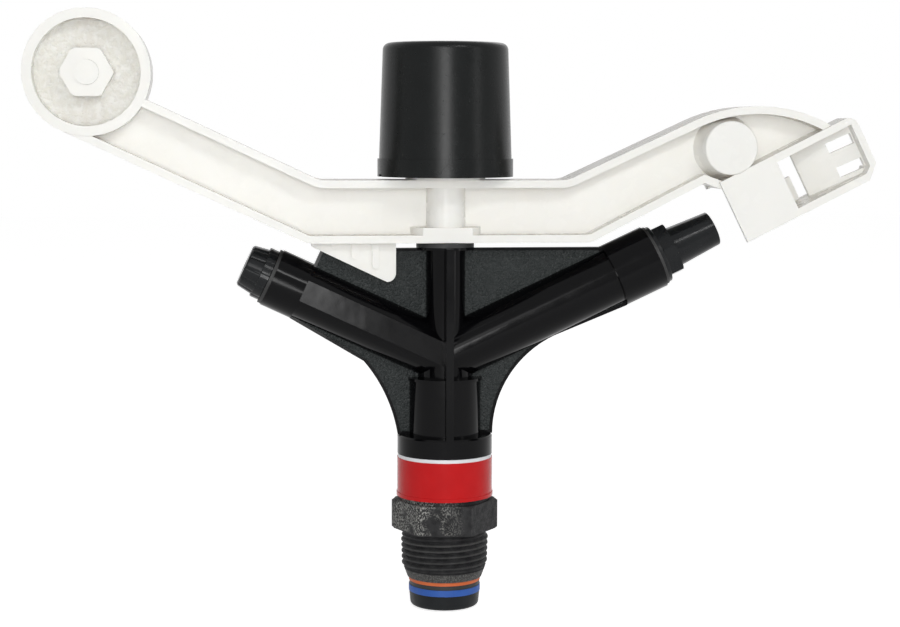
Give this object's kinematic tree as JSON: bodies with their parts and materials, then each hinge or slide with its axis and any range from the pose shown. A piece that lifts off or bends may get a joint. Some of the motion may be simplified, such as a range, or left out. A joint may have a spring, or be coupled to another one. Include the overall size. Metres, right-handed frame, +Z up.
{
  "type": "impulse sprinkler",
  "caption": "Full-circle impulse sprinkler with a range nozzle, a spreader nozzle, a counterweighted drive arm under a spring cap, and a threaded pipe inlet.",
  "frame": {"origin": "on the vertical axis, where the inlet thread meets the hexagon of the nipple", "axes": "+Z up along the axis of turning, +X towards the range nozzle and the drive spoon, -Y towards the front of the plate, where the striker lug rests"},
  "size_m": [0.3168, 0.0508, 0.2239],
  "materials": {
    "nipple_black": "fine-grained, scuffed nylon",
    "body_black": "high gloss, pebbled on the flat plate",
    "cap_black": "satin with a fine grain",
    "tube_black": "satin",
    "nozzle_black": "semi-gloss",
    "arm_ivory": "glossy moulded ivory plastic",
    "sleeve_red": "glossy",
    "washer_white": "smooth",
    "seal_blue": "smooth",
    "seal_black": "smooth",
    "seal_orange": "smooth",
    "bushing_nylon": "smooth nylon",
    "stainless": "drawn wire and turned bar",
    "weight_steel": "zinc-plated steel"
  },
  "bodies": {
    "inlet": {"inlet_nipple": "nipple_black", "spring_seat": "stainless", "bearing_spring": "stainless"},
    "bearing_stack": {"seal_washer_lower": "seal_blue", "seal_washer_middle": "seal_black", "seal_washer_upper": "seal_orange", "sand_sleeve": "sleeve_red", "sleeve_washer": "washer_white"},
    "body": {"bearing_tube": "tube_black", "tube_gasket": "seal_black", "sprinkler_body": "body_black", "range_nozzle": "nozzle_black", "range_gasket": "seal_black", "stream_vane": "nozzle_black", "spreader_nozzle": "nozzle_black", "spreader_gasket": "seal_black", "fulcrum_pin": "stainless", "pivot_pad": "seal_black", "spring_cap": "cap_black", "arm_spring": "stainless"},
    "arm": {"drive_arm": "arm_ivory", "arm_bushing_lower": "bushing_nylon", "arm_bushing_upper": "bushing_nylon", "thrust_washer": "bushing_nylon", "counterweight_disc": "weight_steel", "counterweight_bolt": "arm_ivory", "counterweight_nut": "arm_ivory", "balance_slug": "weight_steel"}
  },
  "joints": [
    {"name": "bearing_press", "type": "slide", "parent": "inlet", "child": "bearing_stack", "axis": [0, 0, 1], "range_m": [-0.0015, 0], "stiffness_N_per_m": 4000, "springref_m": 0.006, "deforming": ["bearing_spring"]},
    {"name": "body_turn", "type": "hinge", "parent": "bearing_stack", "child": "body", "pos_m": [0, 0, 0], "axis": [0, 0, 1], "continuous": true},
    {"name": "arm_swing", "type": "hinge", "parent": "body", "child": "arm", "pos_m": [0, 0, 0.109], "axis": [0, 0, 1], "range_deg": [0, 160], "stiffness_Nm_per_rad": 0.06, "springref_deg": -68.75, "deforming": ["arm_spring"]}
  ]
}
